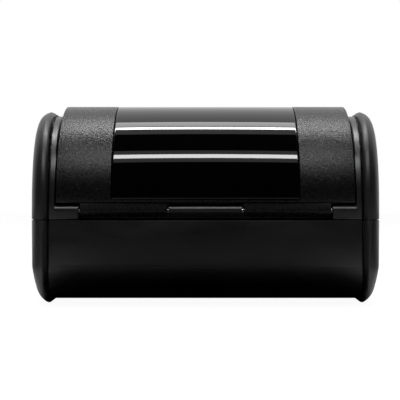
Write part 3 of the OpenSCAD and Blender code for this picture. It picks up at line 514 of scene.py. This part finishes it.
def seam_lip(bumper):
    """Raises a lip inside the seam of a lower bumper, so that no light passes through it."""
    top = BUMPER_SEAM - SEAM_GAP / 2
    pick(bumper, lambda place: place.z > top - 0.01 * MM, "FACE")
    bpy.ops.mesh.inset(thickness=0.8 * MM, depth=0)
    bpy.ops.mesh.extrude_region_move(TRANSFORM_OT_translate={"value": (0, 0, 0.85 * SEAM_GAP)})
    bpy.ops.object.mode_set(mode="OBJECT")
    return bumper


def tuck_under(bumper):
    """Draws the foot of a lower bumper in towards the case, in two steps of growing height."""
    side = math.copysign(CASE_SIDE, bumper.data.vertices[0].co.x)
    for height, reach, share in ((0.5 * MM, 9 * MM, 0.8), (4 * MM, 17 * MM, 0.78)):
        pick(bumper, lambda place: place.z < height)
        bpy.ops.transform.resize(
            value=(share, 1, 1), center_override=(side, 0, 0), use_proportional_edit=True,
            proportional_edit_falloff="SMOOTH", proportional_size=reach,
            use_proportional_projected=False,
        )
        bpy.ops.object.mode_set(mode="OBJECT")
    return bumper


class PRINTER_OT_bumpers(PrinterPiece, bpy.types.Operator):
    """Finishes the four rubber bumpers"""

    bl_idname = "label_printer.bumpers"
    bl_label = "Bumpers"

    def execute(self, context):
        for side in ("left", "right"):
            upper, lower = (
                roll_in(shell(node, f"{node}_rubber", "rubber", 0.4 * MM, 3, bumper_edge))
                for node in (f"bumper_upper_{side}", f"bumper_lower_{side}")
            )
            tuck_under(seam_lip(lower))
        return {"FINISHED"}


def window_panel():
    """The curved window: its flat top is drawn first and its rear end is swept round the lid."""
    low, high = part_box("lid_window")
    axis = Vector((0, low.y + LID_RADIUS, high.z - LID_RADIUS))
    up = Vector((0, math.sin(LID_SLOPE), math.cos(LID_SLOPE)))
    forward = Vector((0, math.cos(LID_SLOPE), -math.sin(LID_SLOPE)))
    bend = axis + LID_RADIUS * up
    run = (high.y - bend.y) / forward.y
    deselect_all()
    bpy.ops.mesh.primitive_plane_add(size=1)
    panel = bpy.context.object
    panel.name = "lid_window_panel"
    bpy.ops.object.mode_set(mode="EDIT")
    bpy.ops.transform.resize(value=(high.x - low.x, run, 1))
    bpy.ops.object.mode_set(mode="OBJECT")
    panel.rotation_euler = (-LID_SLOPE, 0, 0)
    panel.location = bend + run / 2 * forward
    take_up(panel)
    bpy.ops.object.transform_apply(location=True, rotation=True, scale=True)
    rear = min(corner.co.y for corner in panel.data.vertices)
    pick(panel, lambda place: place.y < rear + 0.1 * MM, "EDGE")
    sweep = math.pi / 2 + LID_SLOPE - math.asin((low.z - axis.z) / LID_RADIUS)
    bpy.ops.mesh.spin(steps=48, angle=-sweep, center=axis, axis=(1, 0, 0))
    bpy.ops.mesh.select_all(action="SELECT")
    bpy.ops.mesh.remove_doubles(threshold=0.01 * MM)
    bpy.ops.mesh.normals_make_consistent(inside=False)
    bpy.ops.object.mode_set(mode="OBJECT")
    if max(panel.data.polygons, key=lambda face: face.center.z).normal.z < 0:
        bpy.ops.object.mode_set(mode="EDIT")
        bpy.ops.mesh.flip_normals()
        bpy.ops.object.mode_set(mode="OBJECT")
    finish_modifier(panel, "SOLIDIFY", "Thickness", thickness=1.2 * MM, offset=-1)
    finish_modifier(
        panel, "BEVEL", "Edge", width=0.8 * MM, segments=4, limit_method="ANGLE",
        angle_limit=math.radians(60), use_clamp_overlap=False,
    )
    smooth(panel, 30)
    return panel


class PRINTER_OT_lid(PrinterPiece, bpy.types.Operator):
    """Finishes the lid with its window and inner frame"""

    bl_idname = "label_printer.lid"
    bl_label = "Lid and window"

    def execute(self, context):
        shell("lid_shell", "lid_cover", "lid", context.scene.printer_looks.edge_radius, 3)
        fit_out(window_panel(), "window", "lid_window")
        coat(lid_frame="zinc", lid_screws="steel", hinge_pin="steel")
        return {"FINISHED"}


class PRINTER_OT_print_line(PrinterPiece, bpy.types.Operator):
    """Finishes platen, print head, gears, motor and latch"""

    bl_idname = "label_printer.print_line"
    bl_label = "Print line"

    def execute(self, context):
        coat(
            platen_bushes="acetal", platen_shaft="steel", platen_rubber="roller",
            platen_gear="acetal", print_chassis="zinc", chassis_screws="steel",
            head_heatsink="aluminium", head_substrate="ceramic", head_cover="chip",
            head_pivot="steel", head_springs="steel", latch_shaft="steel",
            latch_hooks="inner", motor_body="zinc", motor_shaft="steel",
            motor_pinion="brass", idler_gear="acetal", idler_stub="steel",
            tear_bar="steel", label_sensor="chip",
        )
        return {"FINISHED"}


class PRINTER_OT_media_bay(PrinterPiece, bpy.types.Operator):
    """Finishes the media bay and the roll guides"""

    bl_idname = "label_printer.media_bay"
    bl_label = "Media bay"

    def execute(self, context):
        coat(
            media_bay="inner", bay_screws="steel", guide_left="inner", guide_right="inner",
            guide_pinion="acetal", guide_pinion_screw="steel",
        )
        return {"FINISHED"}


class PRINTER_OT_controls(PrinterPiece, bpy.types.Operator):
    """Finishes the control panel, buttons and lights"""

    bl_idname = "label_printer.controls"
    bl_label = "Controls"

    def execute(self, context):
        shell("control_panel", "control_panel_film", "film", 0.15 * MM)
        shell("power_button", "power_key", "key", 0.3 * MM, 3)
        shell("feed_button", "feed_key", "key", 0.3 * MM, 3)
        shell("release_button", "lid_release_key", "key", 0.2 * MM)
        coat(status_lights="pipe", button_board="board")
        return {"FINISHED"}


class PRINTER_OT_power(PrinterPiece, bpy.types.Operator):
    """Finishes battery, boards, sockets, port cover and cables"""

    bl_idname = "label_printer.power"
    bl_label = "Power and electronics"

    def execute(self, context):
        shell("battery_pack", "battery_case", "inner", 0.5 * MM, 3)
        shell("battery_latch", "battery_catch_key", "key", 0.15 * MM)
        shell("port_cover", "port_cover_flap", "rubber", 0.3 * MM, 3)
        coat(
            battery_contacts="brass", main_board="board", board_chips="chip",
            board_connectors="acetal", board_screws="steel", power_jack="chip",
            usb_socket="steel", port_cover_pin="steel", head_ribbon="amber",
            motor_wires="wire", case_screws="steel",
        )
        return {"FINISHED"}


# Studio


def white_table(looks):
    """White to the camera, with a share of real shading that keeps the shadow. To the printer it
    shows a painted shadow: the table is painted dark close to it and paler beside it and far away."""
    material = bpy.data.materials.new("studio_white")
    tree = Tree(material)
    rays = tree.add("LightPath").outputs
    place = tree.add("SeparateXYZ", Vector=tree.add("NewGeometry").outputs["Position"]).outputs
    squares = [tree.math("MULTIPLY", place[axis], place[axis]) for axis in "XY"]
    away = tree.math("SQRT", tree.math("ADD", *squares))
    sideways = tree.math("ABSOLUTE", place["X"])

    # What the printer sees: a painted shadow, dark below it and fading to pale far away, and a
    # painted pale band beside it that the bumpers reflect
    near = tree.ramp(away, 0.1, 0.3, 0, looks.table_grey * 0.16)
    far = tree.ramp(away, 0.48, 0.7, 0, looks.table_grey)
    beside = tree.ramp(sideways, 0.069, 0.084, 0, looks.table_grey)
    beside = tree.math("MULTIPLY", beside, tree.ramp(sideways, 0.11, 0.17, 1, 0.15))
    beside = tree.math("MULTIPLY", beside, tree.ramp(place["Y"], -0.24, -0.14))
    # The table's tone for the printer: the painted shadow and the painted pale band beside it
    grey = tree.math("MAXIMUM", tree.math("ADD", near, far), beside)

    # What the camera sees, also in a mirror image of the table behind the printer
    behind = tree.ramp(place["Y"], 0.1, 0.5)
    mirrored = tree.math("MAXIMUM", rays["Is Glossy Ray"], rays["Is Transmission Ray"])
    mirrored = tree.math("MULTIPLY", mirrored, behind)
    glowing = tree.math("MAXIMUM", rays["Is Camera Ray"], mirrored)
    shown = tree.math("MAXIMUM", grey, tree.math("MULTIPLY", rays["Is Camera Ray"], 0.8))

    tone = tree.add("CombineColor", Red=shown, Green=shown, Blue=shown)
    paint = tree.add("BsdfDiffuse", Color=tone.outputs["Color"])
    glow = tree.add("Emission", Color=(1, 1, 1, 1), Strength=1.05)
    share = tree.math("MULTIPLY", glowing, 0.9)
    surface = tree.blend(share, paint.outputs["BSDF"], glow.outputs["Emission"])
    tree.add("OutputMaterial", Surface=surface)
    return material


def studio_room(looks):
    """White to the camera; for all else a bright backdrop behind the printer and a dark front."""
    world = bpy.data.worlds.new("studio_room")
    tree = Tree(world)
    ray_dir = tree.add("TexCoord").outputs["Generated"]
    rearward = tree.add("SeparateXYZ", Vector=ray_dir).outputs["Y"]
    lit = tree.ramp(rearward, 0.06, 0.42, 0.006, looks.backdrop)
    room = tree.add("Background", Color=(1, 1, 1, 1), Strength=lit)
    white = tree.add("Background", Color=(1, 1, 1, 1), Strength=1.0)
    camera_ray = tree.add("LightPath").outputs["Is Camera Ray"]
    surface = tree.blend(camera_ray, room.outputs["Background"], white.outputs["Background"])
    tree.add("OutputWorld", Surface=surface)
    return world


LIT_POINT = Vector((0, -70 * MM, 80 * MM))
PANEL_LENGTH = 1.0


def panel_light(name, rise_angle, width, brightness, distance=1.0):
    """A soft panel above the printer: its angle is counted from the camera side upwards."""
    lamp = bpy.data.lights.new(name, "AREA")
    lamp.shape = "RECTANGLE"
    lamp.size = width
    lamp.size_y = PANEL_LENGTH
    lamp.energy = brightness * math.pi * width * PANEL_LENGTH
    holder = bpy.data.objects.new(name, lamp)
    bpy.context.collection.objects.link(holder)
    angle = math.radians(rise_angle)
    holder.location = LIT_POINT + distance * Vector((0, -math.cos(angle), math.sin(angle)))
    holder.rotation_mode = "QUATERNION"
    holder.rotation_quaternion = (holder.location - LIT_POINT).to_track_quat("Z", "X")
    holder.visible_camera = False


def studio_camera(studio):
    """A camera that looks level at the rear face, a little off the middle as in the photo."""
    lens = bpy.data.cameras.new("studio_camera")
    lens.lens = studio.lens
    lens.sensor_width = 36
    lens.shift_x = -0.01375
    lens.shift_y = -0.0012
    camera = bpy.data.objects.new("studio_camera", lens)
    bpy.context.collection.objects.link(camera)
    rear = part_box("lower_case")[0].y
    camera.location = (0, rear - studio.camera_distance, studio.camera_height)
    camera.rotation_euler = (math.radians(90), 0, 0)
    return camera


class PRINTER_OT_stage(PrinterPiece, bpy.types.Operator):
    """Sets up floor, lamps and camera"""

    bl_idname = "label_printer.stage"
    bl_label = "Studio"

    def execute(self, context):
        studio = context.scene.studio_looks
        deselect_all()
        bpy.ops.mesh.primitive_plane_add(size=5, location=(0, 0.6, -0.2 * MM))
        table = context.object
        table.name = "studio_table"
        bpy.ops.object.transform_apply(location=True)
        table.data.materials.append(white_table(studio))
        panel_light("top_strip", 99.9, 0.06, studio.top_strip)
        panel_light("rear_panel", 107.4, 0.16, studio.rear_panel)
        panel_light("front_strip", 57.3, 0.085, studio.front_strip)
        panel_light("front_halo", 57.3, 0.27, studio.halo, distance=1.02)
        panel_light("top_halo", 93.9, 0.15, studio.halo, distance=1.02)
        context.scene.world = studio_room(studio)
        context.scene.camera = studio_camera(studio)
        context.scene.view_settings.view_transform = "Standard"
        return {"FINISHED"}


class PRINTER_PT_panel(bpy.types.Panel):
    """Lists the steps that finish the printer"""

    bl_idname = "PRINTER_PT_panel"
    bl_label = "Label Printer"
    bl_space_type = "VIEW_3D"
    bl_region_type = "UI"
    bl_category = "Label Printer"

    def draw(self, context):
        column = self.layout.column(align=True)
        for step in STEPS:
            column.operator(step.bl_idname)
        box = self.layout.box()
        for looks in (context.scene.printer_looks, context.scene.studio_looks):
            for name in looks.__annotations__:
                box.prop(looks, name)


STEPS = (
    PRINTER_OT_case,
    PRINTER_OT_bumpers,
    PRINTER_OT_lid,
    PRINTER_OT_print_line,
    PRINTER_OT_media_bay,
    PRINTER_OT_controls,
    PRINTER_OT_power,
    PRINTER_OT_stage,
)
CLASSES = (PrinterLooks, StudioLooks, *STEPS, PRINTER_PT_panel)


def register():
    for cls in CLASSES:
        bpy.utils.register_class(cls)
    bpy.types.Scene.printer_looks = bpy.props.PointerProperty(type=PrinterLooks)
    bpy.types.Scene.studio_looks = bpy.props.PointerProperty(type=StudioLooks)


def unregister():
    del bpy.types.Scene.studio_looks
    del bpy.types.Scene.printer_looks
    for cls in reversed(CLASSES):
        bpy.utils.unregister_class(cls)


def main():
    register()
    mix_finishes(bpy.context.scene.printer_looks)
    bpy.ops.label_printer.case()
    bpy.ops.label_printer.bumpers()
    bpy.ops.label_printer.lid()
    bpy.ops.label_printer.print_line()
    bpy.ops.label_printer.media_bay()
    bpy.ops.label_printer.controls()
    bpy.ops.label_printer.power()
    bpy.ops.label_printer.stage()


if __name__ == "__main__":
    main()
